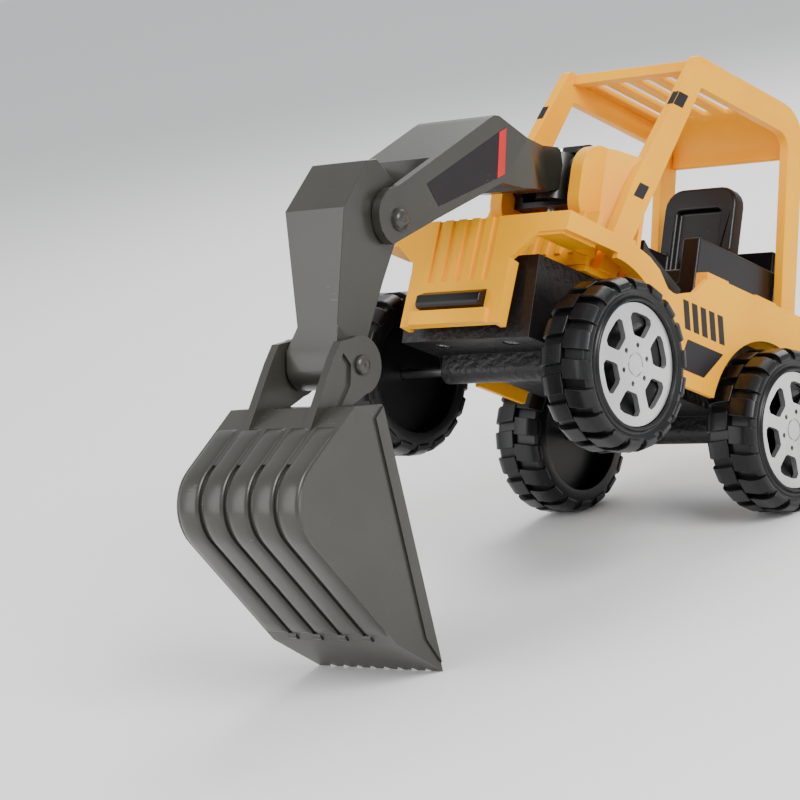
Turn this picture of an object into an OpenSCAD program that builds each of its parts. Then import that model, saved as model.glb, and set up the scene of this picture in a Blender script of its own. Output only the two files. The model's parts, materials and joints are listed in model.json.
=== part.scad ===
// Toy digger: an open-cab toy truck with an excavator arm on its nose.
// It stands as in play, on its back wheels and the teeth of its bucket, nose up.
// Every piece is drawn level, with y = 0 at the front axle and z = 0 under the tyres,
// and stand() then tips the whole toy up onto its bucket.

/* [Wheels] */
// Radius of a tyre over the tread blocks
tyre_r = 27; // [24:0.5:33]
// Width of a tyre
tyre_w = 19; // [15:0.2:23]
// Height of the tread blocks
tread_h = 1.8; // [1:0.1:3]
// Tread blocks round one shoulder of a tyre
tread_count = 18; // [12:1:24]
// Distance between the front and the back axle
wheelbase = 88; // [78:1:106]
// Width over the outer faces of the tyres
track_w = 108; // [100:1:126]
// Diameter of the steel axles
axle_d = 3; // [2:0.1:4]
// Radius of the silver wheel disc
disc_r = 19; // [16:0.5:21]
// Thickness of the silver wheel disc
disc_t = 2; // [1.2:0.1:3]

/* [Body] */
// Width of the yellow body over its side panels
body_w = 80.4; // [67:0.2:90]
// Thickness of the yellow panels
wall = 2; // [1.6:0.1:2.6]
// Body in front of the front axle
nose_len = 25.5; // [22:0.5:32]
// Body behind the back axle
tail_len = 34; // [30:1:42]
// Radius of the front fenders round the axle
front_arch_r = 34.5; // [32:0.5:38]
// Radius of the back wheel arches
rear_arch_r = 29.5; // [28.5:0.5:34]
// Height of the front top edge and of the wings
hood_z = 69.5; // [66:0.5:80]
// Depth of the wing and fender edge
wing_h = 6.3; // [4:0.1:8]
// Height of the door sill
sill_z = 61; // [58:0.5:66]
// Height of the shoulder behind the door
shoulder_z = 69.5; // [66:0.5:74]
// Height of the bottom edge of the body
skirt_z = 31; // [26:0.5:33]
// Width of the front panel below the wings
grille_w = 39.6; // [34:0.2:44]
// Grooves in the front panel
grille_grooves = 5; // [3:1:6]
// Pitch of the grooves
groove_pitch = 5.5; // [4:0.1:6]

/* [Cab] */
// Width of the cab over its side frames
cab_w = 57; // [50:0.5:64]
// Thickness of a cab side frame
frame_t = 3.6; // [3:0.1:6]
// Height of the top of the roof
roof_z = 144; // [130:1:160]
// Length of the roof, pillar top to back corner
roof_len = 65.7; // [56:0.1:78]
// Slots in the roof
roof_slots = 5; // [3:1:6]
// Radius of the round cheek that holds the boom
cheek_r = 10; // [9:0.5:12]
// Thickness of a cheek
cheek_t = 5; // [4:0.1:6]
// Gap between the two cheeks
cheek_gap = 27; // [25:0.1:33]

/* [Arm] */
// Boom, lift pivot to elbow pivot
boom_len = 96.3; // [82:0.1:112]
// Slope of the boom below level, in degrees
boom_drop = 24.4; // [18:0.1:28]
// Width of the boom
boom_w = 31; // [28:0.5:36]
// Dipper, elbow pivot to wrist pivot
dipper_len = 46.3; // [38:0.1:56]
// Lean of the dipper forward of upright, in degrees
dipper_lean = 7.2; // [0:0.1:12]
// Width of the bucket
bucket_w = 50; // [42:1:60]
// Length of the bucket floor, heel to cutting edge
floor_len = 46; // [38:0.5:56]
// Length of the cutting edge plate with the teeth
edge_len = 22; // [18:0.5:26]
// Radius of the heel of the bucket
heel_r = 14.4; // [12:0.1:17]
// Wall of the boom, dipper and bucket
arm_wall = 2; // [1.6:0.1:2.4]
// Diameter of the arm pins
pin_d = 5; // [4:0.1:6]

/* [Fits] */
// Radial gap of a shaft that turns in its hole
run_gap = 0.06; // [0.02:0.01:0.1]
// Radial gap of a shaft that is pressed in
press_gap = 0.02; // [0.01:0.01:0.04]
// Gap beside a part that turns
side_gap = 0.4; // [0.3:0.05:0.8]
// Gap between two fixed mouldings
seat_gap = 0.1; // [0.05:0.05:0.3]

/* [Hidden] */

$fn = 64;
eps = 0.01;
sticker_t = 0.15;

yellow = "#f9ab0b";
dark_grey = "#5c5b55";
black = "#1d1b1c";
silver = "#b9bab8";
steel = "#8f9296";
film = "#2a2526";

half_body = body_w / 2;
half_cab = cab_w / 2;
half_boom = boom_w / 2;
half_bucket = bucket_w / 2;
nose_y = -nose_len;
tail_y = wheelbase + tail_len;
wing_z = hood_z - wing_h;

// Wheels, out from the middle of the toy
axle_end = track_w / 2 - 4;
web_t = 3;
web_x = track_w / 2 - 9;
hub_r = 5;
disc_x = track_w / 2 - disc_t - 1.5;
tread_edge = 1.5;
tread_block = 6;
tread_row = 0.44;
spoke_count = 6;
window_in = 0.46 * disc_r;
window_out = 0.83 * disc_r;
lug_hole_r = 0.8;
lug_ring_r = 0.32 * disc_r;
cap_r = 3.2;
groove_t = 0.6;

// Chassis box between the wheels, and the sleeves that carry the axles
chassis_half = 26;
chassis_z = skirt_z + 0.5;
chassis_wall = 2;
chassis_front = nose_y + 5;
chassis_back = tail_y - 4;
sleeve_r = 4;
sleeve_half = 22.5;
screw_y = [-14, wheelbase - 40, wheelbase + 16];
screw_x = 14;
screw_head_r = 2.6;
screw_shank_r = 1.3;
screw_boss_r = 3.4;

// Deck of the body at the height of the sill, and the chassis just under it
deck_t = wall;
deck_z = sill_z - 1;
chassis_top = deck_z - deck_t - seat_gap;
panel_lean = 5.5;
firewall_y = -1;
firewall_lean = 13;
firewall_z = hood_z + 9;

// Top line of the fenders and sides: wing, dip behind the front wheel, step, shoulder
side_top = [
    [nose_y, hood_z], [6.3, hood_z - 1.1], [16.3, hood_z - 3.1], [22.2, hood_z - 5.7],
    [27.6, sill_z - 1.9], [31.6, sill_z - 2.8], [39.3, sill_z], [42, sill_z + 0.8],
    [48, shoulder_z - 1.6], [55, shoulder_z], [tail_y, shoulder_z]
];
tail_low_z = shoulder_z - 14;

// Lamp bar in the front panel
lamp_half = 13;
lamp_z = skirt_z + 8.3;
lamp_h = 5.8;

// Lift pivot of the boom between the cheeks
foot_y = 14;
foot_z = hood_z + 24.3;
cheek_in = cheek_gap / 2;
cheek_out = cheek_in + cheek_t;
cheek_drop = 8.6;

// Cab outline: the front pillar leans back and the back post leans a little with it
pillar_top_y = 43.3;
pillar_lean = 26.2;
pillar_depth = 9.2;
post_lean = 6.6;
roof_back_y = pillar_top_y + roof_len;
roof_corner_r = 13.5;
beam_z = roof_z - 10.2;
window_corner_r = 6;
post_w = 8.2;
roof_t = 2;
cross_y = pillar_top_y + 2;
cross_w = 4;
header_z = roof_z - 16.2;
roof_half = half_cab - frame_t - seat_gap;
slot_pitch = 9.2;
slot_w = 4.2;
slot_y = cross_y + cross_w + 3;
slot_len = roof_len - 27;
bridge_y = foot_y + 14.5;
bridge_z = foot_z + 12;

pillar_y = function (z) pillar_top_y - (roof_z - z) * tan(pillar_lean);
pillar_back_y = function (z) pillar_y(z) + pillar_depth + (beam_z - z) * 0.06;
post_y = function (z) roof_back_y + (roof_z - roof_corner_r - z) * tan(post_lean);

// Cockpit: a deep tub, its rim well above the sill, with the seat in it
tub_half = 24;
tub_front = wheelbase - 25.5;
tub_back = wheelbase + 20.5;
tub_rim_z = sill_z + 26.4;
floor_z = deck_z + seat_gap;
seat_y = wheelbase + 4;
seat_w = 30;
seat_top = sill_z + 54;

// Arm joints, worked out along the chain in the level frame
elbow_y = foot_y - boom_len * cos(boom_drop);
elbow_z = foot_z - boom_len * sin(boom_drop);
wrist_y = elbow_y - dipper_len * sin(dipper_lean);
wrist_z = elbow_z - dipper_len * cos(dipper_lean);
fork_r = 9;
dipper_half = 12;
fork_in = dipper_half + side_gap;
fork_throat = 21;
ear_out = 14;
ear_t = 3;
ear_in = ear_out - ear_t;
ear_r = 8.7;
knob_r = 2.9;

// Swing joint in the knuckle
swing_r = pin_d / 2 - 0.5;
neck_half = 5;
barrel_r = 6;
barrel_low = -7.4;
barrel_high = 8.4;
knuckle_t = 3.4;
knuckle_plate = 2.2;
swing_show = 1.2;
knuckle_half = cheek_in - side_gap;
knuckle_in = knuckle_half - knuckle_t;
knuckle_back = barrel_r + side_gap + 0.4;

// Bucket outline in its own frame, with the wrist at the origin
unit = function (deg) [cos(deg), sin(deg)];
back_deg = 147;
floor_deg = 242.4;
groove_depth = 0.8;
edge_deg = -10.9;
heel_c = [-13.8, -44.8];
back_len = 25.5;
back_start = heel_c + heel_r * unit(back_deg);
shoulder_pt = back_start + back_len * unit(back_deg - 90);
lip_pt = shoulder_pt + [11.2, 3.4];
floor_start = heel_c + heel_r * unit(floor_deg);
bend_pt = floor_start + floor_len * unit(floor_deg + 90);
tip_pt = bend_pt + edge_len * unit(edge_deg);
band_count = 5;
band_gap = 2;
tooth_count = 8;
tooth_depth = 1.6;

// Stance: the line under the back wheels that also touches the teeth
tip_y = wrist_y + tip_pt[0];
tip_z = wrist_z + tip_pt[1];
reach = norm([wheelbase - tip_y, tyre_r - tip_z]);
stance = acos(tyre_r / reach) - atan2(wheelbase - tip_y, tyre_r - tip_z);
lift = tyre_r + wheelbase * sin(stance) - tyre_r * cos(stance);
tipped_y = function (y, z) y * cos(stance) + z * sin(stance);
front_y = tipped_y(wrist_y + heel_c[0], wrist_z + heel_c[1]) - heel_r;
back_y = tipped_y(roof_back_y - roof_corner_r, roof_z - roof_corner_r) + roof_corner_r;
mid_y = (front_y + back_y) / 2;

function arc_pts(c, r, a0, a1, n = 8) =
    [for (i = [0:n]) c + r * unit(a0 + (a1 - a0) * i / n)];

module stand() {
    translate([0, -mid_y, lift]) rotate([-stance, 0, 0]) children();
}

// Extrudes an outline of [y, z] points from x0 to x1
module slab(pts, x0, x1) {
    translate([x0, 0, 0]) rotate([90, 0, 90]) linear_extrude(x1 - x0) polygon(pts);
}

module box(x0, x1, y0, y1, z0, z1) {
    translate([x0, y0, z0]) cube([x1 - x0, y1 - y0, z1 - z0]);
}

module rod(r, x0, x1, y = 0, z = 0) {
    translate([x0, y, z]) rotate([0, 90, 0]) cylinder(r = r, h = x1 - x0);
}

module both() {
    children();
    mirror([1, 0, 0]) children();
}

// ---- wheels ----

module axle(y) {
    color(steel) stand() rod(axle_d / 2, -axle_end, axle_end, y, tyre_r);
}

module tyre(y, side) {
    outer = tyre_r - tread_h;
    inner = disc_r + seat_gap;
    x_in = track_w / 2 - tyre_w;
    color(black) stand() translate([0, y, tyre_r]) mirror([side < 0 ? 1 : 0, 0, 0]) difference() {
        union() {
            translate([x_in, 0, 0]) rotate([0, 90, 0]) rotate_extrude() polygon([
                [inner, 0], [outer - tread_edge, 0], [outer, tread_edge],
                [outer, tyre_w - tread_edge], [outer - tread_edge, tyre_w], [inner, tyre_w]
            ]);
            intersection() {
                translate([x_in, 0, 0]) rotate([0, 90, 0]) rotate_extrude() polygon([
                    [outer - 2, 0], [tyre_r - tread_edge, 0], [tyre_r, tread_edge],
                    [tyre_r, tyre_w - tread_edge], [tyre_r - tread_edge, tyre_w], [outer - 2, tyre_w]
                ]);
                for (i = [0:tread_count - 1], row = [0, 1])
                    rotate([(i + row / 2) * 360 / tread_count, 0, 0])
                        translate([x_in + row * tyre_w * (1 - tread_row), -tread_block / 2, outer - 3])
                            cube([tyre_w * tread_row, tread_block, tread_h + 4]);
            }
            rod(inner + 1, web_x - web_t, web_x);
            rod(hub_r, web_x - web_t - 3, disc_x - 1 - seat_gap);
        }
        rod(axle_d / 2 + press_gap, x_in - 1, track_w / 2 + 1);
    }
}

module wheel_disc(y, side) {
    w = 0.28 * disc_r;
    window = [
        [-0.45 * w, window_in], [0.45 * w, window_in], [0.62 * w, window_in + 1], [w, window_out - 2.2],
        [0.88 * w, window_out - 0.6], [0.5 * w, window_out], [-0.5 * w, window_out],
        [-0.88 * w, window_out - 0.6], [-w, window_out - 2.2], [-0.62 * w, window_in + 1]
    ];
    color(silver) stand() translate([0, y, tyre_r]) mirror([side < 0 ? 1 : 0, 0, 0]) difference() {
        union() {
            rod(disc_r, disc_x, disc_x + disc_t);
            rod(hub_r - 1, disc_x - 1, disc_x);
        }
        for (i = [0:spoke_count - 1]) rotate([i * 360 / spoke_count, 0, 0]) {
            slab(window, disc_x - 1, disc_x + disc_t + 1);
            rod(lug_hole_r, disc_x - 1, disc_x + disc_t + 1, 0, lug_ring_r);
        }
        difference() {
            rod(cap_r + groove_t, disc_x + disc_t - 0.4, disc_x + disc_t + 1);
            rod(cap_r, disc_x + disc_t - 0.6, disc_x + disc_t + 2);
        }
        rod(axle_d / 2 + press_gap, disc_x - 2, axle_end + seat_gap);
    }
}

module front_axle() { axle(0); }
module rear_axle() { axle(wheelbase); }
module tyre_front_left() { tyre(0, 1); }
module tyre_front_right() { tyre(0, -1); }
module tyre_rear_left() { tyre(wheelbase, 1); }
module tyre_rear_right() { tyre(wheelbase, -1); }
module disc_front_left() { wheel_disc(0, 1); }
module disc_front_right() { wheel_disc(0, -1); }
module disc_rear_left() { wheel_disc(wheelbase, 1); }
module disc_rear_right() { wheel_disc(wheelbase, -1); }

// ---- chassis ----

// Black box under the body, with a sleeve for each axle and pillars for the screws
module chassis() {
    top = chassis_top;
    color(black) stand() difference() {
        union() {
            difference() {
                box(-chassis_half, chassis_half, chassis_front, chassis_back, chassis_z, top);
                box(-chassis_half + chassis_wall, chassis_half - chassis_wall,
                    chassis_front + chassis_wall, chassis_back - chassis_wall,
                    chassis_z + chassis_wall, top + 1);
            }
            for (y = [0, wheelbase]) {
                rod(sleeve_r, -sleeve_half, sleeve_half, y, tyre_r);
                box(-sleeve_half, sleeve_half, y - sleeve_r, y + sleeve_r,
                    tyre_r, chassis_z + chassis_wall);
            }
            for (y = screw_y) both()
                translate([screw_x, y, chassis_z]) cylinder(r = screw_boss_r, h = top - chassis_z);
        }
        for (y = [0, wheelbase]) rod(axle_d / 2 + run_gap, -body_w, body_w, y, tyre_r);
        for (y = screw_y) both() translate([screw_x, y, chassis_z - 1]) {
            cylinder(r = screw_head_r + seat_gap, h = 3);
            cylinder(r = screw_shank_r + press_gap, h = 18);
        }
    }
}

// Cross-head screws from below, one in each pillar of the chassis
module chassis_screws() {
    color(steel) stand() for (y = screw_y) both() translate([screw_x, y, chassis_z + 0.4])
        difference() {
            union() {
                cylinder(r = screw_head_r, h = 1.6 - seat_gap);
                cylinder(r = screw_shank_r, h = 14);
            }
            for (a = [0, 90]) rotate([0, 0, a]) translate([-1.6, -0.3, -1]) cube([3.2, 0.6, 1.6]);
        }
}

// ---- yellow body ----

module side_panel() {
    difference() {
        slab(concat(side_top, [
            [tail_y, tail_low_z], [wheelbase, tail_low_z], [wheelbase, skirt_z], [0, skirt_z],
            [0, wing_z], [nose_y, wing_z]
        ]), half_body - wall, half_body);
        rod(front_arch_r, 0, body_w, 0, tyre_r);
        rod(rear_arch_r, 0, body_w, wheelbase, tyre_r);
        box(0, body_w, nose_y - 1, front_arch_r * 0.6, 0, tyre_r + front_arch_r * 0.75);
    }
}

module at_panel() {
    translate([0, nose_y, hood_z]) rotate([-panel_lean, 0, 0])
        translate([0, 0, -hood_z]) children();
}

// Front panel: wings over a narrower grille, leaning out at the foot
module front_panel() {
    foot = skirt_z + 3;
    face = [
        [half_body, hood_z], [half_body, wing_z], [half_body - 11.2, wing_z],
        [half_body - 14.6, wing_z - 3.2], [grille_w / 2, wing_z - 7.9], [grille_w / 2, foot]
    ];
    mirrored = [for (i = [len(face) - 1:-1:0]) [-face[i][0], face[i][1]]];
    groove_h = 21;
    at_panel() difference() {
        union() {
            translate([0, wall, 0]) rotate([90, 0, 0]) linear_extrude(wall)
                polygon(concat(face, mirrored));
            box(-15.5, 15.5, -1.6, eps, foot, foot + 4.6);
            both() box(grille_w / 2 - wall, grille_w / 2, eps, 4.5, foot, wing_z - 8);
        }
        for (i = [0:grille_grooves - 1])
            translate([(i - (grille_grooves - 1) / 2) * groove_pitch, 0, 0])
                box(-1.2, 1.2, -1, 0.8, hood_z - groove_h, hood_z + 1);
        box(-lamp_half - seat_gap, lamp_half + seat_gap, -1, wall + 1, lamp_z - seat_gap,
            lamp_z + lamp_h + seat_gap);
    }
}

// Wall in front of the cab, with upright ribs like the grooves of the front panel
module firewall() {
    translate([0, firewall_y, deck_z]) rotate([-firewall_lean, 0, 0]) {
        height = (firewall_z - deck_z) / cos(firewall_lean);
        box(-half_cab, half_cab, 0, wall, 0, height);
        for (x = [-4:4]) box(x * groove_pitch - 0.9, x * groove_pitch + 0.9, -0.9, eps,
                             4, height);
    }
}

module body_shell() {
    inner = half_body - wall;
    block_in = half_cab + (inner - half_cab) * 0.54;
    block_out = half_cab + (inner - half_cab) * 0.1;
    color(yellow) stand() union() {
        both() side_panel();
        front_panel();
        firewall();
        both() {
            // shelf behind each wing, out to the wing edge, and the deck over the wheel
            box(half_cab - 0.5, inner + eps, nose_y + eps, -9, wing_z - 1, wing_z + 1);
            box(half_cab - 0.8, half_cab + 1.2, nose_y + eps, 2, wing_z - 0.8, hood_z - 1.2);
            slab([
                [-11, hood_z - 1], [-11, hood_z - 3], [6.3, hood_z - 3.6], [16.3, hood_z - 5.6],
                [22.2, hood_z - 8.2], [27, deck_z - deck_t], [44, deck_z - deck_t],
                [44, deck_z], [28.5, deck_z - 1], [23.2, hood_z - 6.2], [17, hood_z - 3.6],
                [6.3, hood_z - 1.6]
            ], half_cab + seat_gap, inner + eps);
            box(tub_half + 1, inner + eps, 38, tail_y - eps, deck_z - deck_t, deck_z);
            // stepped blocks along the top of the side
            box(block_in, inner + eps, 50, 62, deck_z - eps, shoulder_z + 1.4);
            box(block_in, inner + eps, 62 - eps, tail_y - eps, deck_z - eps, shoulder_z - 2);
            box(block_out, inner + eps, 78, 90, deck_z - eps, shoulder_z + 1.4);
        }
        // deck from the firewall to the cockpit, and behind the cockpit
        box(-half_cab + 0.5, half_cab - 0.5, firewall_y + 0.6, foot_y + 24, deck_z - deck_t, deck_z);
        box(-inner, inner, tail_y - 7, tail_y - eps, deck_z - deck_t, deck_z);
        // tail panel with its two raised bars
        box(-half_body + eps, half_body - eps, tail_y - wall, tail_y, tail_low_z, shoulder_z);
        for (z = [3.5, 8]) box(-24, 24, tail_y - eps, tail_y + 0.8, tail_low_z + z,
                               tail_low_z + z + 2);
    }
}

// Black lamp bar that pushes through the front panel
module bumper_lamp() {
    color(black) stand() at_panel() slab([
        [0, lamp_z], [wall + 1.5, lamp_z], [wall + 1.5, lamp_z + lamp_h], [0, lamp_z + lamp_h],
        [-3, lamp_z + 4], [-3, lamp_z + 1], [-2.2, lamp_z]
    ], -lamp_half, lamp_half);
}

// ---- cab ----

// Side frame: leaning front pillar, roof beam and back post in one outline
module cab_side() {
    corner = [roof_back_y - roof_corner_r, roof_z - roof_corner_r];
    window = [post_y(beam_z) - post_w - window_corner_r, beam_z - window_corner_r];
    base_z = deck_z + seat_gap;
    slab(concat(
        [[pillar_y(base_z) + 4, base_z], [pillar_y(foot_z), foot_z],
         [pillar_y(roof_z - 1.4), roof_z - 1.4], [pillar_top_y + 0.8, roof_z]],
        arc_pts(corner, roof_corner_r, 90, 0, 6),
        [[post_y(base_z), base_z], [post_y(base_z) - post_w, base_z]],
        arc_pts(window, window_corner_r, 0, 90, 5),
        [[pillar_back_y(beam_z), beam_z], [pillar_back_y(hood_z + 4), hood_z + 4],
         [pillar_back_y(base_z), base_z]]
    ), half_cab - frame_t, half_cab);
}

// Cheek: a D-shaped plate that flares out to the outer face of the pillar
module cheek() {
    base_z = deck_z + seat_gap;
    flare_y = pillar_y(foot_z) + 9;
    low_z = foot_z - cheek_drop;
    low_r = cheek_r - 1;
    intersection() {
        slab(concat(
            [[foot_y + 8.5, foot_z + 8], [foot_y + 3, foot_z + cheek_r - 0.3]],
            arc_pts([foot_y, foot_z], cheek_r, 90, 180, 10),
            arc_pts([foot_y - 1, low_z], low_r, 180, 270, 8),
            [[pillar_back_y(low_z - low_r) - 1.5, low_z - low_r],
             [pillar_back_y(foot_z + 4) - 3, foot_z + 4], [pillar_y(foot_z + 6) + 1, foot_z + 6]]
        ), 0, half_cab);
        translate([0, 0, base_z]) linear_extrude(roof_z) polygon([
            [cheek_in, foot_y - cheek_r], [cheek_out, foot_y - cheek_r],
            [cheek_out, foot_y + 1], [half_cab, flare_y - 4], [half_cab, flare_y + 9],
            [half_cab - frame_t, flare_y + 9], [half_cab - frame_t, flare_y],
            [cheek_in, foot_y + cheek_r - 1]
        ]);
    }
}

module cab_frame() {
    base_z = deck_z + seat_gap;
    color(yellow) stand() difference() {
        union() {
            both() cab_side();
            both() cheek();
            // stepped brackets at the foot of each cheek
            both() {
                box(cheek_out - 1, half_cab - 1, foot_y + 4, foot_y + 8, base_z, hood_z + 8);
                box(cheek_out - 1, half_cab - 0.4, foot_y + 7, foot_y + 10, base_z, hood_z + 5);
            }
            // front cross-beam of the roof
            box(-half_cab + eps, half_cab - eps, cross_y, cross_y + cross_w,
                roof_z - 4.4, roof_z - 0.8);
            // bridge behind the knuckle, with the hump that stops the boom
            box(-half_cab + frame_t, half_cab - frame_t, bridge_y, bridge_y + wall,
                base_z, foot_z + 2);
            intersection() {
                box(-9, 9, bridge_y, bridge_y + wall + 1.5, foot_z - 4, bridge_z);
                translate([0, bridge_y - 1, foot_z + 1]) rotate([-90, 0, 0])
                    cylinder(r = bridge_z - foot_z - 1, h = wall + 6);
            }
        }
        rod(pin_d / 2 + press_gap, -cheek_out + 1, cheek_out - 1, foot_y, foot_z);
    }
}

// Roof between the side frames: slotted in front, plain behind, turned down at the back
module roof_panel() {
    top = roof_z - 1.2;
    back = roof_back_y - 1.2;
    r = roof_corner_r - 1.2;
    c = [back - r, top - r];
    start = cross_y + cross_w + seat_gap;
    color(yellow) stand() difference() {
        slab(concat(
            [[start, top]], arc_pts(c, r, 90, 0, 8), [[back, header_z], [back - roof_t, header_z]],
            arc_pts(c, r - roof_t, 0, 90, 8), [[start, top - roof_t]]
        ), -roof_half, roof_half);
        for (i = [0:roof_slots - 1]) {
            x = (i - (roof_slots - 1) / 2) * slot_pitch;
            box(x - slot_w / 2, x + slot_w / 2, slot_y, slot_y + slot_len, roof_z - 6, roof_z + 1);
        }
    }
}

// ---- cockpit ----

// Black tub with a high rim, and the tray in front of it that is the footwell
module cockpit_tub() {
    color(black) stand() difference() {
        union() {
            box(-tub_half, tub_half, tub_front, tub_back, floor_z, tub_rim_z);
            box(-tub_half, tub_half, bridge_y + 12, tub_front + eps, floor_z, floor_z + wall);
        }
        box(-tub_half + wall, tub_half - wall, tub_front + wall, tub_back - wall,
            floor_z + wall, tub_rim_z + 1);
        // front of the tub is cut down to the knees
        box(-tub_half + 7, tub_half - 7, tub_front - 1, tub_front + wall + 1,
            floor_z + 12, tub_rim_z + 1);
    }
}

// Seat: cushion, side bolsters and a back with a recessed panel
module seat() {
    base = floor_z + wall + seat_gap;
    cushion_z = tub_rim_z - 8;
    color(black) stand() difference() {
        union() {
            box(-seat_w / 2, seat_w / 2, tub_front + 8, seat_y + eps, base, cushion_z);
            both() slab(concat(
                [[tub_front + 10, cushion_z - 1], [seat_y, cushion_z - 1], [seat_y, tub_rim_z + 4]],
                arc_pts([tub_front + 18, tub_rim_z - 2], 6, 90, 180, 5)
            ), seat_w / 2 - 4, seat_w / 2);
            translate([0, seat_y + 6, 0]) rotate([90, 0, 0]) linear_extrude(6) polygon(concat(
                [[-seat_w / 2, base]], arc_pts([-seat_w / 2 + 7, seat_top - 7], 7, 180, 90, 5),
                arc_pts([seat_w / 2 - 7, seat_top - 7], 7, 90, 0, 5), [[seat_w / 2, base]]
            ));
        }
        box(-9, 9, seat_y - 1, seat_y + 2.5, cushion_z + 3, seat_top - 8);
    }
}

// Black wedge behind the foot of the front pillars, with a kick panel on each side
module dash() {
    y0 = bridge_y + wall + 1.5 + seat_gap;
    low = floor_z + wall + seat_gap;
    kick_end = tub_front - 8;
    half = half_cab - frame_t - seat_gap;
    color(black) stand() {
        slab([
            [y0, floor_z], [y0 + 8, floor_z], [y0 + 8, floor_z + 5], [y0 + 3, hood_z + 6],
            [y0, hood_z + 8]
        ], -half, half);
        both() slab([
            [y0 + 1, low], [kick_end, low], [kick_end, sill_z + 6],
            [y0 + 4, hood_z + 5], [y0 + 1, hood_z + 6]
        ], half - wall, half);
    }
}

// Black box across the back of the cockpit
module rear_box() {
    y0 = tub_back + seat_gap;
    y1 = tail_y - 5;
    half = half_cab - frame_t - seat_gap - 3;
    top = tub_rim_z + 8;
    color(black) stand() difference() {
        slab([[y0, floor_z], [y1, floor_z], [y1, top - 6], [y1 - 2, top], [y0, top]],
             -half, half);
        both() box(2.5, half - 3, y0 + 2, y1 - 3, floor_z + 8, top + 1);
    }
}

// ---- stickers ----

// Printed film on each side panel, in slanted bars, clear of the back wheel arch
module side_stickers() {
    bar_w = 3;
    pitch = 4.8;
    color(film) stand() both() {
        for (i = [0:4]) slab([
            [36 + i * pitch, sill_z - 3], [36 + i * pitch + bar_w, sill_z - 3],
            [39 + i * pitch + bar_w, sill_z - 12], [39 + i * pitch, sill_z - 12]
        ], half_body, half_body + sticker_t);
        difference() {
            slab([[38, 36], [52, 36], [61, 46], [41, 46]], half_body, half_body + sticker_t);
            rod(rear_arch_r + 1, 0, body_w, wheelbase, tyre_r);
        }
    }
}

// Two small dark squares on each front pillar; the upper one wraps round its front edge
module pillar_stickers() {
    side = 5;
    run = side * tan(pillar_lean);
    color(film) stand() both() {
        for (mark = [[foot_z - 5.5, 3], [beam_z - 10, 0.1]]) {
            z = mark[0];
            y = pillar_y(z) + mark[1];
            slab([[y, z], [y + side, z], [y + side + run, z + side], [y + run, z + side]],
                 half_cab, half_cab + sticker_t);
        }
        translate([0, pillar_y(beam_z - 10), beam_z - 10]) rotate([-pillar_lean, 0, 0])
            box(half_cab - frame_t * 0.7, half_cab - 0.1, -sticker_t, 0, 0, side / cos(pillar_lean));
    }
}

// ---- arm ----

// Frames of the arm pieces: forward is -y, up is +z
module at_lift() {
    stand() translate([0, foot_y, foot_z]) children();
}
module at_swing() {
    at_lift() children();
}
module at_foot() {
    at_lift() rotate([boom_drop, 0, 0]) children();
}
module at_elbow() {
    stand() translate([0, elbow_y, elbow_z]) rotate([-dipper_lean, 0, 0]) children();
}
module at_wrist() {
    stand() translate([0, wrist_y, wrist_z]) children();
}

// Boom from the side, in its own frame: the foot barrel at the origin, the fork in front
boom_side = concat(
    [[-2, 10.8], [-31.1, 16.5], [-43.5, 24.9], [-45.9, 25.4], [-48.4, 24.7],
     [-boom_len + 1.7, 10]],
    arc_pts([-boom_len, 1], fork_r, 80, 240, 8),
    [[-boom_len + 16.2, -2.3], [-46.5, 4.4], [-36.3, 1.3], [-13.1, -2.2], [-2, -2.2]]
);

// Boom from above: full width to the crease, then tapering to the neck at the barrel
function boom_plan(t) = [
    [half_boom - t, -boom_len - 12], [half_boom - t, -31], [neck_half - t, -11],
    [neck_half - t, 4], [-neck_half + t, 4], [-neck_half + t, -11],
    [-half_boom + t, -31], [-half_boom + t, -boom_len - 12]
];

module boom() {
    throat = -boom_len + fork_throat;
    color(dark_grey) difference() {
        union() {
            at_foot() difference() {
                intersection() {
                    slab(boom_side, -22, 22);
                    translate([0, 0, -20]) linear_extrude(60) polygon(boom_plan(0));
                }
                // hollow underside
                intersection() {
                    slab([
                        [-30, -10], [-31, 13.5], [-46, 22.5], [throat + 4, 12.8],
                        [throat + 4, -10]
                    ], -22, 22);
                    translate([0, 0, -20]) linear_extrude(60) polygon(boom_plan(arm_wall));
                }
                // fork slot that takes the dipper
                box(-fork_in, fork_in, -boom_len - 12, throat, -12, 24);
                // seat for the barrel
                rotate([-boom_drop, 0, 0]) box(-20, 20, -4, 20, -30, 30);
            }
            at_swing() translate([0, 0, barrel_low])
                cylinder(r = barrel_r, h = barrel_high - barrel_low);
            // knobs over the ends of the elbow pin
            at_foot() both() rod(knob_r + 0.6, half_boom - eps, half_boom + 0.7, -boom_len, 0);
        }
        at_swing() translate([0, 0, -20]) cylinder(r = swing_r + run_gap, h = 40);
        at_swing() box(-20, 20, -20, 20, -30, barrel_low);
        at_swing() box(-7, 7, -7, 20, barrel_high, 30);
        at_foot() rod(pin_d / 2 + run_gap, -half_boom - 2, half_boom + 2, -boom_len, 0);
    }
}

module boom_stickers() {
    color(film) at_foot() both() slab([
        [-82, 8.8], [-45, 19.9], [-41, 20.9], [-45, 6.8], [-48, 6.2], [-78, 1.4]
    ], half_boom, half_boom + sticker_t);
}

// Stub pins, one pressed into each cheek, that the knuckle tips on
module lift_pins() {
    color(steel) at_lift() both()
        rod(pin_d / 2, knuckle_in + side_gap, cheek_out - 1 - side_gap);
}

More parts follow.
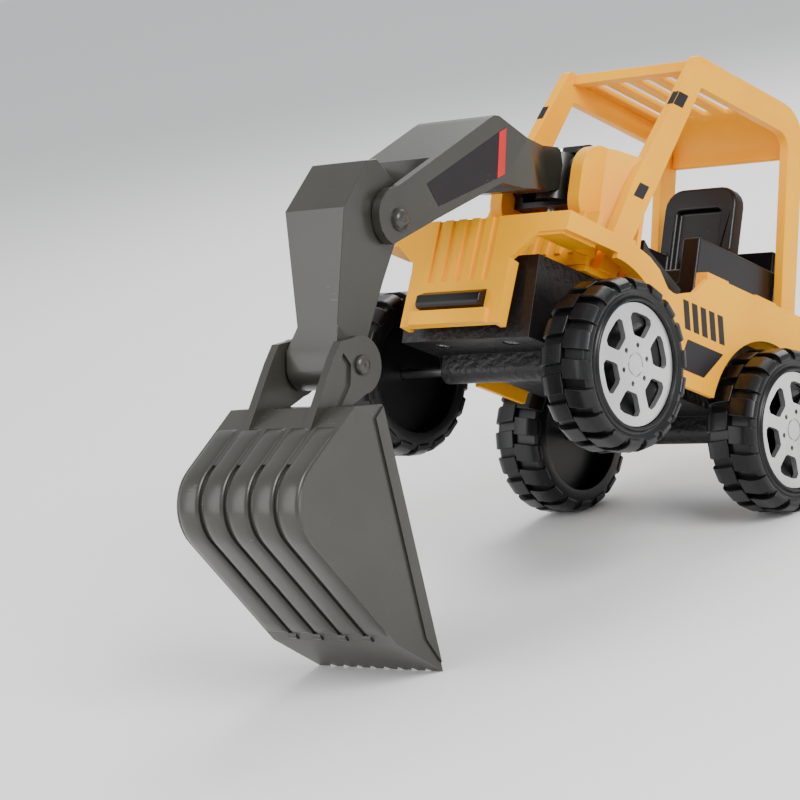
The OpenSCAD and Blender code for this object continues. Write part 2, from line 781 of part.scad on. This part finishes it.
// Black knuckle: two side plates joined behind and below the barrel of the boom
module knuckle() {
    low = barrel_low - side_gap;
    high = barrel_high + side_gap;
    plate = knuckle_plate;
    color(black) at_lift() difference() {
        union() {
            both() rod(7.5, knuckle_in, knuckle_half);
            both() box(knuckle_in, knuckle_half, -4, knuckle_back + plate, low - plate, high);
            box(-knuckle_half, knuckle_half, knuckle_back, knuckle_back + plate,
                low - plate, high + plate);
            box(-knuckle_half, knuckle_half, -4, knuckle_back + plate, low - plate, low);
            box(-knuckle_half, knuckle_half, -1, knuckle_back + plate, high, high + plate);
        }
        rod(pin_d / 2 + run_gap, -20, 20);
        translate([0, 0, -20]) cylinder(r = swing_r + press_gap, h = 40);
    }
}

// Upright pin that the boom swings on, its end showing under the knuckle
module swing_pin() {
    low = barrel_low - side_gap - knuckle_plate - swing_show;
    high = barrel_high + side_gap + knuckle_plate - seat_gap * 4;
    color(silver) at_swing() translate([0, 0, low]) cylinder(r = swing_r, h = high - low);
}

module elbow_pin() {
    color(dark_grey) at_elbow() rod(pin_d / 2, -half_boom - 0.6, half_boom + 0.6);
}

module wrist_pin() {
    color(dark_grey) at_wrist() rod(pin_d / 2, -ear_out - 0.4, ear_out + 0.4);
}

// Outline of the dipper from the side, and its half-width along its length
function dipper_side() = concat(
    [[-10.8, 15.2], [-15, 13], [-20.4, -4.4], [-7.8, -dipper_len + 9.6],
     [-8.1, -dipper_len + 2]],
    arc_pts([0, -dipper_len], 7, 210, 360, 8),
    [[5.6, -dipper_len + 12], [4.4, -18], [4, 0], [0.4, 11.3]]
);

function dipper_front(t) = [
    [-11 + t, 16], [-dipper_half + t, -4.4], [-8.2 + t, -dipper_len + 10],
    [-10 + t, -dipper_len + 2], [-10 + t, -dipper_len - 8], [10 - t, -dipper_len - 8],
    [10 - t, -dipper_len + 2], [8.2 - t, -dipper_len + 10], [dipper_half - t, -4.4],
    [11 - t, 16]
];

module dipper() {
    color(dark_grey) at_elbow() difference() {
        intersection() {
            slab(dipper_side(), -15, 15);
            translate([0, 30, 0]) rotate([90, 0, 0]) linear_extrude(60) polygon(dipper_front(0));
        }
        // hollow back, between the two pin bosses
        intersection() {
            slab([
                [-17, -5], [-6, -dipper_len + 12], [20, -dipper_len + 12], [20, -6], [-4, -6]
            ], -15, 15);
            translate([0, 30, 0]) rotate([90, 0, 0]) linear_extrude(60)
                polygon(dipper_front(arm_wall));
        }
        rod(pin_d / 2 + press_gap, -20, 20);
        rod(pin_d / 2 + press_gap, -20, 20, 0, -dipper_len);
    }
}

// Bucket: curved back and floor, side plates with a thick lip, ears and teeth
module bucket() {
    in_r = heel_r - arm_wall;
    in_back = heel_c + in_r * unit(back_deg);
    in_floor = heel_c + in_r * unit(floor_deg);
    over = 12;
    outer = concat([lip_pt, shoulder_pt], arc_pts(heel_c, heel_r, back_deg, floor_deg, 12),
                   [bend_pt, tip_pt]);
    inner = concat(
        [lip_pt + [over, -arm_wall + 3], lip_pt + [0.6, -arm_wall],
         in_back + (back_len - 1) * unit(back_deg - 90)],
        arc_pts(heel_c, in_r, back_deg, floor_deg, 12),
        [in_floor + floor_len * unit(floor_deg + 90), tip_pt + [over, 1.6]]
    );
    mouth = unit(atan2(lip_pt[1] - tip_pt[1], lip_pt[0] - tip_pt[0]));
    in_dir = [mouth[1], -mouth[0]] * -1;
    band_x = function (i) (i / band_count - 0.5) * bucket_w;
    lump_half = 1.7;
    lump_r = 1.3;
    lump = bend_pt - 2.2 * unit(floor_deg + 90) - 0.6 * unit(floor_deg);
    color(dark_grey) at_wrist() union() {
        // small lumps where the grooves of the floor end
        for (i = [1:band_count - 1]) translate([
            band_x(i), lump[0], lump[1]
        ]) rod(lump_r, -lump_half, lump_half);
        difference() {
            union() {
                slab(outer, -half_bucket, half_bucket);
                // thick front edge of the side plates
                both() slab([
                    lip_pt + 0.3 * in_dir - 0.6 * mouth, lip_pt + 4.5 * in_dir - 3 * mouth,
                    tip_pt + 4.5 * in_dir + 12 * mouth, tip_pt + 0.3 * in_dir + 3 * mouth
                ], half_bucket - 0.5, half_bucket + 0.7);
                // ears
                both() {
                    rod(ear_r, ear_in, ear_out);
                    slab([
                        [-12.2, -1.9], [-10.1, 4.6], [-2, 8.4], [8, -2.8], [4.3, -7.4],
                        lip_pt + [-1, -0.5], [-17, -28], [-18.6, -28.6]
                    ], ear_in, ear_out);
                }
            }
            slab(inner, -half_bucket + arm_wall, half_bucket - arm_wall);
            // grooves between the bands of the back and floor
            for (i = [1:band_count - 1]) slab(concat(
                arc_pts(heel_c, heel_r + 2, back_deg - 8, floor_deg, 12),
                [bend_pt + 2 * unit(floor_deg) - 3 * unit(floor_deg + 90),
                 bend_pt - groove_depth * unit(floor_deg) - 3 * unit(floor_deg + 90)],
                arc_pts(heel_c, heel_r - groove_depth, floor_deg, back_deg - 8, 12)
            ), band_x(i) - band_gap / 2, band_x(i) + band_gap / 2);
            // notches between the teeth
            for (i = [0:tooth_count - 1])
                translate([(i - (tooth_count - 1) / 2) * (bucket_w - 6) / tooth_count,
                           tip_pt[0], tip_pt[1]])
                    rotate([edge_deg, 0, 0]) translate([0, 0, -6]) linear_extrude(12)
                        polygon([[-1.8, 1], [-0.3, -tooth_depth], [0.3, -tooth_depth], [1.8, 1]]);
            // recess in the outer face of each ear
            both() slab([[-9, -2], [-8.4, 1.6], [-4.4, -1], [-3.4, -7], [-6, -14], [-13, -22]],
                        ear_out - 1, ear_out + 1);
            rod(pin_d / 2 + run_gap, -20, 20);
        }
    }
}

chassis();
chassis_screws();
body_shell();
bumper_lamp();
cab_frame();
roof_panel();
seat();
cockpit_tub();
dash();
rear_box();
side_stickers();
pillar_stickers();
front_axle();
rear_axle();
tyre_front_left();
tyre_front_right();
tyre_rear_left();
tyre_rear_right();
disc_front_left();
disc_front_right();
disc_rear_left();
disc_rear_right();
lift_pins();
knuckle();
swing_pin();
boom();
boom_stickers();
elbow_pin();
dipper();
wrist_pin();
bucket();
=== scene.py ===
import json
import math
import bmesh
import bpy
from mathutils import Matrix, Vector


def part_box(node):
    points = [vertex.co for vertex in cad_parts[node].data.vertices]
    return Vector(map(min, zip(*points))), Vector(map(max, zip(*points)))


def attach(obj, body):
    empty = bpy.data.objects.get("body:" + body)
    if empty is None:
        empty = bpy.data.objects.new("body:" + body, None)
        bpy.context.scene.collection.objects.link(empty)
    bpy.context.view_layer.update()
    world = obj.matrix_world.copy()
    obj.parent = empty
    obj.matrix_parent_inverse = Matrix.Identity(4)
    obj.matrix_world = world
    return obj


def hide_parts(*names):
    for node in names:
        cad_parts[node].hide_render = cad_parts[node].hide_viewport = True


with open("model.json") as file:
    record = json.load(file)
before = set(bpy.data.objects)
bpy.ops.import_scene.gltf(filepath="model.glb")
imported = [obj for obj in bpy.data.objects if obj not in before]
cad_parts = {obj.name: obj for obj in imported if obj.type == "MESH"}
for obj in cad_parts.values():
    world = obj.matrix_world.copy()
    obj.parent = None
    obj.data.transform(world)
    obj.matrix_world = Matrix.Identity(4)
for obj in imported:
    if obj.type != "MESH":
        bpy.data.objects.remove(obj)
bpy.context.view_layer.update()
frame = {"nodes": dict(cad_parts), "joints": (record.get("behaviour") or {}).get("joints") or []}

# ---- Camera
# The toy is drawn level and then tipped up onto its bucket, by the slope of its axle line.
# The camera looks low at the front left corner, and its aim is a place on the level toy, in mm.
MM = 0.001
joint_at = {joint["name"]: Vector(joint["pos_m"]) for joint in frame["joints"]}
front_axle_at = joint_at["front_wheels_spin"]
axle_line = joint_at["rear_wheels_spin"] - front_axle_at
tip_angle = math.atan2(-axle_line.z, axle_line.y)
tip = Matrix.Rotation(-tip_angle, 4, "X")
tyre_low, tyre_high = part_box("tyre_front_left")
tyre_r = (tyre_high[2] - tyre_low[2]) / 2
level = Matrix.Translation(front_axle_at) @ tip @ Matrix.Translation((0, 0, -tyre_r))

camera_data = bpy.data.cameras.new("camera")
camera_data.sensor_width = 36
camera_data.lens = 128.5
camera_data.clip_start = 0.01
camera = bpy.data.objects.new("camera", camera_data)
bpy.context.scene.collection.objects.link(camera)
aim = level @ (Vector((-24.3, -19.2, 13.1)) * MM)
camera_turn = math.radians(42.5)
camera_rise = math.radians(10.9)
camera_roll = math.radians(-11.7)
camera_distance = 0.905
camera.matrix_world = (Matrix.Translation(aim) @ Matrix.Rotation(camera_turn, 4, "Z")
                       @ Matrix.Rotation(math.pi / 2 - camera_rise, 4, "X")
                       @ Matrix.Rotation(camera_roll, 4, "Z")
                       @ Matrix.Translation((0, 0, camera_distance)))
bpy.context.scene.camera = camera

# ---- Chassis
# Black box of moulded plastic under the body, coarse like cast metal on its outside.
# It carries the axles in two sleeves and takes six screws from below.


class Paint:
    """A shader socket that can be added, subtracted, multiplied and fed to other nodes."""

    def __init__(self, tree, socket):
        self.tree = tree
        self.socket = socket

    def node(self, kind, settings, inputs, out=0):
        """Adds a node of one kind, sets it up, and fills its sockets with values or links."""
        made = self.tree.nodes.new(kind)
        for name, value in settings.items():
            setattr(made, name, value)
        for name, value in inputs.items():
            if isinstance(value, Paint):
                self.tree.links.new(value.socket, made.inputs[name])
            else:
                made.inputs[name].default_value = value
        return Paint(self.tree, made.outputs[out])

    def maths(self, operation, first, second):
        return self.node("ShaderNodeMath", {"operation": operation}, {0: first, 1: second})

    def __add__(self, other):
        return self.maths("ADD", self, other)

    def __radd__(self, other):
        return self.maths("ADD", other, self)

    def __sub__(self, other):
        return self.maths("SUBTRACT", self, other)

    def __rsub__(self, other):
        return self.maths("SUBTRACT", other, self)

    def __mul__(self, other):
        return self.maths("MULTIPLY", self, other)

    def __rmul__(self, other):
        return self.maths("MULTIPLY", other, self)

    def noise(self, place, scale, detail):
        return self.node("ShaderNodeTexNoise", {},
                         {"Vector": place, "Scale": scale, "Detail": detail})

    def above(self, threshold, soft):
        """0 below the threshold, rising smoothly to 1 over the next `soft`."""
        return self.node("ShaderNodeMapRange", {"interpolation_type": "SMOOTHSTEP"},
                         {"Value": self, "From Min": threshold, "From Max": threshold + soft})


def mixed(mask, under, over):
    """The colour `under` where the mask is 0, and the colour `over` where it is 1."""
    under, over = (colour if isinstance(colour, Paint) else (*colour, 1) for colour in (under, over))
    return mask.node("ShaderNodeMix", {"data_type": "RGBA"}, {0: mask, 6: under, 7: over}, out=2)


def finish_of(name, colour, shade, rough, rough_swing, grain, grain_depth, scuff=(0.5, 0.5, 0.5),
              scuff_amount=0.25, coat=0.0, metal=0.0, specular=0.5):
    """A moulded finish: two tones in soft clouds, a fine grain, and fine scuffs."""
    material = bpy.data.materials.new(name)
    material.use_nodes = True
    tree = material.node_tree
    shader = tree.nodes["Principled BSDF"]
    place = Paint(tree, tree.nodes.new("ShaderNodeTexCoord").outputs["Object"])
    cloud_scale, patch_scale = 38.0, 90.0
    scuff_lean, scuff_stretch = (0.4, 0.9, 0.2), (260.0, 1900.0, 1900.0)
    scuff_depth, scuff_rough = 0.6, 0.25
    clouds = place.noise(place, cloud_scale, 4.0)
    fine = place.noise(place, grain, 3.0)
    stretched = place.node("ShaderNodeMapping", {}, {
        "Vector": place, "Rotation": scuff_lean, "Scale": scuff_stretch})
    hairs = place.noise(stretched, 1.0, 2.0)
    patches = place.noise(place, patch_scale, 2.0)
    worn = hairs.above(0.66, 0.05) * patches.above(0.55, 0.12) * scuff_amount

    toned = mixed(clouds.above(0.35, 0.3), shade, colour)
    tree.links.new(mixed(worn, toned, scuff).socket, shader.inputs["Base Color"])
    roughness = clouds * rough_swing + (rough - rough_swing * 0.5) + worn * scuff_rough
    tree.links.new(roughness.socket, shader.inputs["Roughness"])
    bump = place.node("ShaderNodeBump", {}, {
        "Height": fine - worn * scuff_depth, "Strength": 1.0, "Distance": grain_depth})
    tree.links.new(bump.socket, shader.inputs["Normal"])
    shader.inputs["Metallic"].default_value = metal
    shader.inputs["Coat Weight"].default_value = coat
    shader.inputs["Coat Roughness"].default_value = 0.12
    shader.inputs["Specular IOR Level"].default_value = specular
    return material


def piece(name, bm, material, body, smooth=True):
    """Makes an object of a mesh that is already in place, and lets it ride on its body."""
    mesh = bpy.data.meshes.new(name)
    bm.to_mesh(mesh)
    bm.free()
    for face in mesh.polygons:
        face.use_smooth = smooth
    made = bpy.data.objects.new(name, mesh)
    bpy.context.scene.collection.objects.link(made)
    mesh.materials.append(material)
    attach(made, body)
    return made


def room_beside(edge, corner, most):
    """How much of an edge can be rounded at one end before its neighbours are used up."""
    nearly_straight, sharp_fold = math.radians(140), math.radians(30)
    room = most
    along = (edge.other_vert(corner).co - corner.co).normalized()
    for face in edge.link_faces:
        for other in face.edges:
            if other is edge or corner not in other.verts:
                continue
            across = other.other_vert(corner).co - corner.co
            angle = along.angle(across, 0)
            if angle > nearly_straight:
                continue
            sharp = len(other.link_faces) == 2 and other.calc_face_angle(0) > sharp_fold
            share = 0.45 if sharp else 0.8
            room = min(room, across.length * math.sin(angle) * share)
    return room


def eased(made, width, segments=3, angle=32):
    """Rounds the sharp edges of a piece by `width` mm as a mould does, less where it is small."""
    least_weight = 0.02
    bm = bmesh.new()
    bm.from_mesh(made.data)
    weight = bm.edges.layers.float.new("bevel_weight_edge")
    for edge in bm.edges:
        if len(edge.link_faces) == 2 and edge.calc_face_angle(0) > math.radians(angle):
            room = min(room_beside(edge, corner, width * MM) for corner in edge.verts)
            edge[weight] = max(least_weight, min(1.0, room / (width * MM)))
    bm.to_mesh(made.data)
    bm.free()
    bevel = made.modifiers.new("eased", "BEVEL")
    bevel.width = width * MM
    bevel.segments = segments
    bevel.limit_method = "WEIGHT"
    bevel.miter_outer = "MITER_ARC"
    bevel.use_clamp_overlap = True
    normals = made.modifiers.new("faces", "WEIGHTED_NORMAL")
    normals.keep_sharp = False
    normals.weight = 60


def moulded(node, name, material, body, width, segments=3, merge=True):
    """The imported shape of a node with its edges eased."""
    weld, flat = 0.004 * MM, math.radians(0.6)
    bm = bmesh.new()
    bm.from_mesh(frame["nodes"][node].data)
    bmesh.ops.remove_doubles(bm, verts=bm.verts, dist=weld)
    if merge:
        bmesh.ops.dissolve_limit(bm, angle_limit=flat, verts=bm.verts, edges=bm.edges)
    made = piece(name, bm, material, body)
    eased(made, width, segments)
    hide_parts(node)


black_coarse = finish_of("black_coarse_plastic", (0.008, 0.007, 0.008), (0.004, 0.0035, 0.004),
                         rough=0.42, rough_swing=0.2, grain=420.0, grain_depth=0.5 * MM,
                         scuff=(0.08, 0.08, 0.08), specular=0.4)
moulded("chassis", "chassis_box", black_coarse, "root", 0.5)

# ---- Chassis screws
# Six steel screws with cross heads, driven from below.
# They hold the yellow body down on the chassis.
screw_steel = finish_of("screw_steel", (0.42, 0.43, 0.45), (0.30, 0.30, 0.32), rough=0.35,
                        rough_swing=0.2, grain=2500.0, grain_depth=0.02 * MM, metal=1.0)
moulded("chassis_screws", "screws", screw_steel, "root", 0.12, 2)

# ---- Axles
# Two lengths of plain drawn steel wire.
# Each is pressed into its two wheels and turns freely in the chassis sleeves.
wire_steel = finish_of("drawn_wire", (0.50, 0.51, 0.53), (0.38, 0.39, 0.41), rough=0.3,
                       rough_swing=0.15, grain=1800.0, grain_depth=0.015 * MM, metal=1.0)
for end in ("front", "rear"):
    moulded(f"{end}_axle", f"{end}_axle_wire", wire_steel, f"{end}_wheelset", 0.3, 2)

# ---- Tyres
# Hard black plastic tyres, each one moulding pressed on its axle.
# Two rows of heavy blocks meet in a zigzag in the middle and wrap over onto the sidewall.
tyre_black = finish_of("tyre_black", (0.004, 0.004, 0.0045), (0.0025, 0.0025, 0.003), rough=0.36,
                       rough_swing=0.22, grain=700.0, grain_depth=0.05 * MM,
                       scuff=(0.05, 0.048, 0.045), scuff_amount=0.5, coat=0.08, specular=0.35)
block_count = 18
block_share = 0.66  # of the way from one block to the next
block_skew = 0.22   # degrees of turn for each mm across
block_w = 19        # tyre width that the two block outlines are drawn for
outer_block = [(9.7, 24.4), (9.7, 26.85), (14.8, 27.0), (17.0, 26.4), (18.6, 25.2), (18.95, 23.6),
               (18.2, 22.7), (17.0, 24.2)]
inner_block = [(9.3, 24.4), (2.0, 24.2), (0.8, 22.7), (0.05, 23.6), (0.4, 25.2), (2.0, 26.4),
               (4.2, 27.0), (9.3, 26.85)]


def across_from(start_x, x_sign):
    """Turns mm outward from a starting place into a place along the axle."""
    return lambda across: start_x + x_sign * across * MM


def on_wheel(x, centre, radius, angle):
    return x, centre.y + math.cos(angle) * radius * MM, centre.z + math.sin(angle) * radius * MM


def lathe(bm, centre, x_of, outline, steps=72):
    """Turns an outline of (across, radius) in mm about the axle."""
    rings = [[bm.verts.new(on_wheel(x_of(across), centre, radius, math.tau * i / steps))
              for across, radius in outline] for i in range(steps)]
    for i in range(steps):
        here, after = rings[i], rings[(i + 1) % steps]
        for k in range(len(outline)):
            n = (k + 1) % len(outline)
            bm.faces.new((here[k], here[n], after[n], after[k]))


def wedge(bm, centre, x_of, outline, start, stop, skew):
    """One tread block: an outline of (across, radius) swept from one angle to another."""
    first, last = ([bm.verts.new(on_wheel(x_of(across), centre, radius,
                                          math.radians(angle + skew * (across - outline[0][0]))))
                    for across, radius in outline] for angle in (start, stop))
    bm.faces.new(first)
    bm.faces.new(list(reversed(last)))
    for k in range(len(outline)):
        n = (k + 1) % len(outline)
        bm.faces.new((first[n], first[k], last[k], last[n]))


for side, x_sign in (("left", 1), ("right", -1)):
    for end in ("front", "rear"):
        tyre_low, tyre_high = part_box(f"tyre_{end}_{side}")
        centre = joint_at[f"{end}_wheels_spin"]
        width = (tyre_high[0] - tyre_low[0]) / MM
        x_of = across_from(tyre_low[0] if x_sign > 0 else tyre_high[0], x_sign)
        bm = bmesh.new()
        tread = [(0.3, 19.3), (0.1, 22.0), (0.9, 24.4), (2.0, 25.0), (width - 2.2, 25.0)]
        sidewall = [(width - 0.9, 24.2), (width - 0.7, 22.6), (width - 1.5, 21.4),
                    (width - 1.2, 20.6), (width - 0.3, 20.2), (width - 0.3, 19.4)]
        hollow = [(width - 3.8, 19.1), (width - 4.0, 15.0), (width - 9.0, 1.6),
                  (width - 12.0, 1.6), (width - 12.0, 19.0)]
        lathe(bm, centre, x_of, tread + sidewall + hollow)
        block_pitch = 360 / block_count
        for i in range(block_count):
            for outline, shift, skew in ((outer_block, 0, block_skew),
                                         (inner_block, 0.5, -block_skew)):
                start = (i + shift) * block_pitch
                outline = [(across * width / block_w, radius) for across, radius in outline]
                wedge(bm, centre, x_of, outline, start, start + block_pitch * block_share, skew)
        bmesh.ops.recalc_face_normals(bm, faces=bm.faces)
        tyre = piece(f"{end}_{side}_tyre", bm, tyre_black, f"{end}_wheelset")
        eased(tyre, 0.35, 2, 30)
        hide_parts(f"tyre_{end}_{side}")

# ---- Wheel discs
# Silver coated plastic discs with six windows, six lug holes and a ring groove in the middle.
# Each is pressed into the outer side of its tyre.
disc_silver = finish_of("disc_silver", (0.66, 0.66, 0.65), (0.52, 0.52, 0.52), rough=0.3,
                        rough_swing=0.12, grain=1600.0, grain_depth=0.03 * MM,
                        scuff=(0.3, 0.3, 0.3), metal=0.85)
for side in ("left", "right"):
    for end in ("front", "rear"):
        moulded(f"disc_{end}_{side}", f"{end}_{side}_disc", disc_silver, f"{end}_wheelset",
                0.4)

# ---- Body shell
# One yellow moulding: front panel, wings, fenders, sides and tail.
# Smooth semi-gloss plastic with eased edges, screwed down on the chassis.
yellow = finish_of("yellow_plastic", (1.0, 0.45, 0.0), (0.97, 0.41, 0.0), rough=0.42,
                   rough_swing=0.1, grain=1500.0, grain_depth=0.012 * MM,
                   scuff=(1.0, 0.60, 0.05), scuff_amount=0.15, specular=0.22)
moulded("body_shell", "yellow_body", yellow, "root", 0.45)

# ---- Lamp bar
# Black bar with rounded ends, pushed through a slot low in the front panel.
# Satin moulded plastic, held by the slot's edges alone.
black_satin = finish_of("black_satin_plastic", (0.006, 0.0035, 0.0045), (0.0035, 0.0025, 0.003),
                        rough=0.32, rough_swing=0.12, grain=1300.0, grain_depth=0.03 * MM,
                        scuff=(0.10, 0.09, 0.10), specular=0.35)
moulded("bumper_lamp", "lamp_bar", black_satin, "root", 0.6)

# ---- Cab frame and roof
# Two yellow mouldings: the pillars with the cheeks that hold the arm, and the slotted roof.
# They clip on the body and on each other, in the same plastic as the body.
moulded("cab_frame", "yellow_cab", yellow, "root", 0.7)
moulded("roof_panel", "yellow_roof", yellow, "root", 0.6, merge=False)

# ---- Cockpit
# Black tub, dash wedge, seat and the box behind the seat, all satin moulded plastic.
# They drop into the yellow body one on another before the cab goes on.
moulded("cockpit_tub", "tub", black_satin, "root", 0.9)
moulded("dash", "dash_wedge", black_satin, "root", 0.9)
moulded("seat", "driver_seat", black_satin, "root", 1.2)
moulded("rear_box", "box_behind_seat", black_satin, "root", 0.8)

# ---- Knuckle
# Black joint piece between the cab cheeks, moulded in one.
# It tips on two steel stub pins and holds the boom on an upright pin.
moulded("lift_pins", "stub_pins", wire_steel, "root", 0.3, 2)
moulded("knuckle", "black_knuckle", black_satin, "knuckle", 0.6)
moulded("swing_pin", "upright_pin", disc_silver, "knuckle", 0.5)

# ---- Boom
# Dark grey hollow moulding, bent like an elbow, with a fork at its outer end.
# Each side wears a black film with a red band at its upper end.
dark_grey = finish_of("dark_grey_plastic", (0.034, 0.0325, 0.0255), (0.028, 0.0265, 0.0205),
                      rough=0.33, rough_swing=0.12, grain=1200.0, grain_depth=0.03 * MM,
                      scuff=(0.2, 0.2, 0.17), coat=0.12)
film_black = finish_of("film_black", (0.012, 0.009, 0.012), (0.008, 0.006, 0.008), rough=0.40,
                       rough_swing=0.2, grain=1500.0, grain_depth=0.03 * MM,
                       scuff=(0.25, 0.25, 0.25), scuff_amount=0.4, specular=0.3)
film_red = finish_of("film_red", (0.60, 0.002, 0.003), (0.50, 0.002, 0.003), rough=0.38,
                     rough_swing=0.15, grain=1500.0, grain_depth=0.03 * MM,
                     scuff=(0.8, 0.3, 0.3), scuff_amount=0.4)
moulded("boom", "boom_shell", dark_grey, "boom", 1.0)
moulded("boom_stickers", "boom_films", film_black, "boom", 0.03, 1)
film_low, film_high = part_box("boom_stickers")
boom_drop = math.radians(24.4)
boom_frame = (Matrix.Translation(joint_at["boom_lift"]) @ tip
              @ Matrix.Rotation(boom_drop, 4, "X"))
band_rise = 0.06
band_corners = ((-44.7, 20.0), (-41.1, 20.85), (-45.0, 6.9), (-48.8, 6.1))
bm = bmesh.new()
for x_sign, face_x in ((1, film_high[0] / MM), (-1, film_low[0] / MM)):
    strip = [bm.verts.new(boom_frame @ (Vector((face_x + x_sign * rise, y, z)) * MM))
             for rise in (0.0, band_rise) for y, z in band_corners]
    bm.faces.new(strip[4:])
    bm.faces.new(strip[:4][::-1])
    for k in range(4):
        n = (k + 1) % 4
        bm.faces.new((strip[k], strip[n], strip[4 + n], strip[4 + k]))
bmesh.ops.recalc_face_normals(bm, faces=bm.faces)
piece("red_film_bands", bm, film_red, "boom", smooth=False)

# ---- Dipper
# Dark grey moulding that widens to its top, hung in the boom's fork on the elbow pin.
# Both pins are moulded in the same grey and end in low domes on the outside.
moulded("elbow_pin", "elbow_knobs", dark_grey, "dipper", 0.9)
moulded("dipper", "dipper_shell", dark_grey, "dipper", 1.0)
for pin, joint, dome_r in (("elbow_pin", "elbow", 3.2), ("wrist_pin", "bucket_curl", 3.0)):
    pin_low, pin_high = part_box(pin)
    for side, x_sign, end_x in (("left", 1, pin_high[0]), ("right", -1, pin_low[0])):
        bm = bmesh.new()
        lathe(bm, joint_at[joint], across_from(end_x, x_sign),
              [(-0.5, dome_r - 0.2), (0.0, dome_r), (0.6, dome_r * 0.93), (1.1, dome_r * 0.74),
               (1.45, dome_r * 0.45), (1.55, 0.02), (-0.5, 0.02)], 32)
        bmesh.ops.recalc_face_normals(bm, faces=bm.faces)
        piece(f"{pin}_dome_{side}", bm, dark_grey, "dipper")
moulded("wrist_pin", "wrist_knobs", dark_grey, "dipper", 0.9)

# ---- Bucket
# Dark grey open scoop with two ears, hung on the dipper by the wrist pin.
# Five rounded bands stand on its back and run round the heel to the cutting edge.
moulded("bucket", "bucket_shell", dark_grey, "bucket", 1.3)
bucket_frame = Matrix.Translation(joint_at["bucket_curl"]) @ tip
bucket_w = 50.0
band_count = 5
band_pitch = bucket_w / band_count
heel_centre = Vector((-13.8, -44.8))
heel_r = 14.4
heel_steps = 16
back_deg = 147.0
floor_deg = 242.4


def turned(degrees):
    return Vector((math.cos(math.radians(degrees)), math.sin(math.radians(degrees))))


# The way of a band: (place, outward) down the back, round the heel and along the floor.
way = [(heel_centre + turned(back_deg) * heel_r + turned(back_deg - 90) * run, turned(back_deg))
       for run in (17.0, 15.5, 12.0, 8.0, 4.0)]
for i in range(heel_steps + 1):
    outward = turned(back_deg + (floor_deg - back_deg) * i / heel_steps)
    way.append((heel_centre + outward * heel_r, outward))
way += [(heel_centre + turned(floor_deg) * heel_r + turned(floor_deg + 90) * run,
         turned(floor_deg)) for run in (4.0, 12.0, 20.0, 28.0, 36.0, 40.5, 42.0)]
half_round = [(-0.405, -0.4), (-0.40, 0.0), (-0.36, 0.42), (-0.28, 0.68), (-0.14, 0.80)]
section = half_round + [(0.0, 0.84)] + [(-across, rise) for across, rise in reversed(half_round)]
bm = bmesh.new()
for band in range(band_count):
    middle = (band - (band_count - 1) / 2) * band_pitch
    rows = []
    for k, (place, outward) in enumerate(way):
        at_end = k in (0, len(way) - 1)
        rows.append([])
        for across, rise in section:
            spot = place + outward * (0.0 if at_end and rise > 0 else rise)
            rows[-1].append(bm.verts.new(bucket_frame @ (Vector((
                middle + across * band_pitch, spot.x, spot.y)) * MM)))
    for row, next_row in zip(rows, rows[1:]):
        for n in range(len(section) - 1):
            bm.faces.new((row[n], row[n + 1], next_row[n + 1], next_row[n]))
bmesh.ops.recalc_face_normals(bm, faces=bm.faces)
piece("bucket_bands", bm, dark_grey, "bucket")

# ---- Body stickers
# Thin black films stuck flat on the body sides and the front pillars.
# They are cut into plain slanted bars, a plain stripe and small squares.
for node, name in (("side_stickers", "side_films"), ("pillar_stickers", "pillar_films")):
    moulded(node, name, film_black, "root", 0.03, 1)

# ---- Floor and lights
# A plain pale floor that the toy stands on.
# One large soft key light stands off the toy's left side, with a fill and a back light.
bm = bmesh.new()
bmesh.ops.create_grid(bm, x_segments=1, y_segments=1, size=6)
floor_mesh = bpy.data.meshes.new("floor")
bm.to_mesh(floor_mesh)
bm.free()
floor = bpy.data.objects.new("floor", floor_mesh)
bpy.context.scene.collection.objects.link(floor)
floor_paint = bpy.data.materials.new("floor")
floor_paint.use_nodes = True
floor_shader = floor_paint.node_tree.nodes["Principled BSDF"]
floor_shader.inputs["Base Color"].default_value = (0.92, 0.915, 0.905, 1)
floor_shader.inputs["Roughness"].default_value = 0.9
floor_mesh.materials.append(floor_paint)


def soft_light(name, place, size, power):
    data = bpy.data.lights.new(name, "AREA")
    data.energy = power
    data.size = size
    made = bpy.data.objects.new(name, data)
    bpy.context.scene.collection.objects.link(made)
    made.location = place
    made.rotation_euler = (-Vector(place)).to_track_quat("-Z", "Y").to_euler()


soft_light("key", (0.95, -0.35, 0.85), 0.6, 15)
soft_light("fill", (-0.5, -1.1, 0.55), 1.0, 9)
soft_light("back", (-0.3, 0.9, 0.9), 0.9, 11)
world = bpy.data.worlds.new("world")
bpy.context.scene.world = world
world.use_nodes = True
sky = world.node_tree.nodes["Background"]
sky.inputs["Color"].default_value = (0.95, 0.97, 1.0, 1)
sky.inputs["Strength"].default_value = 0.75
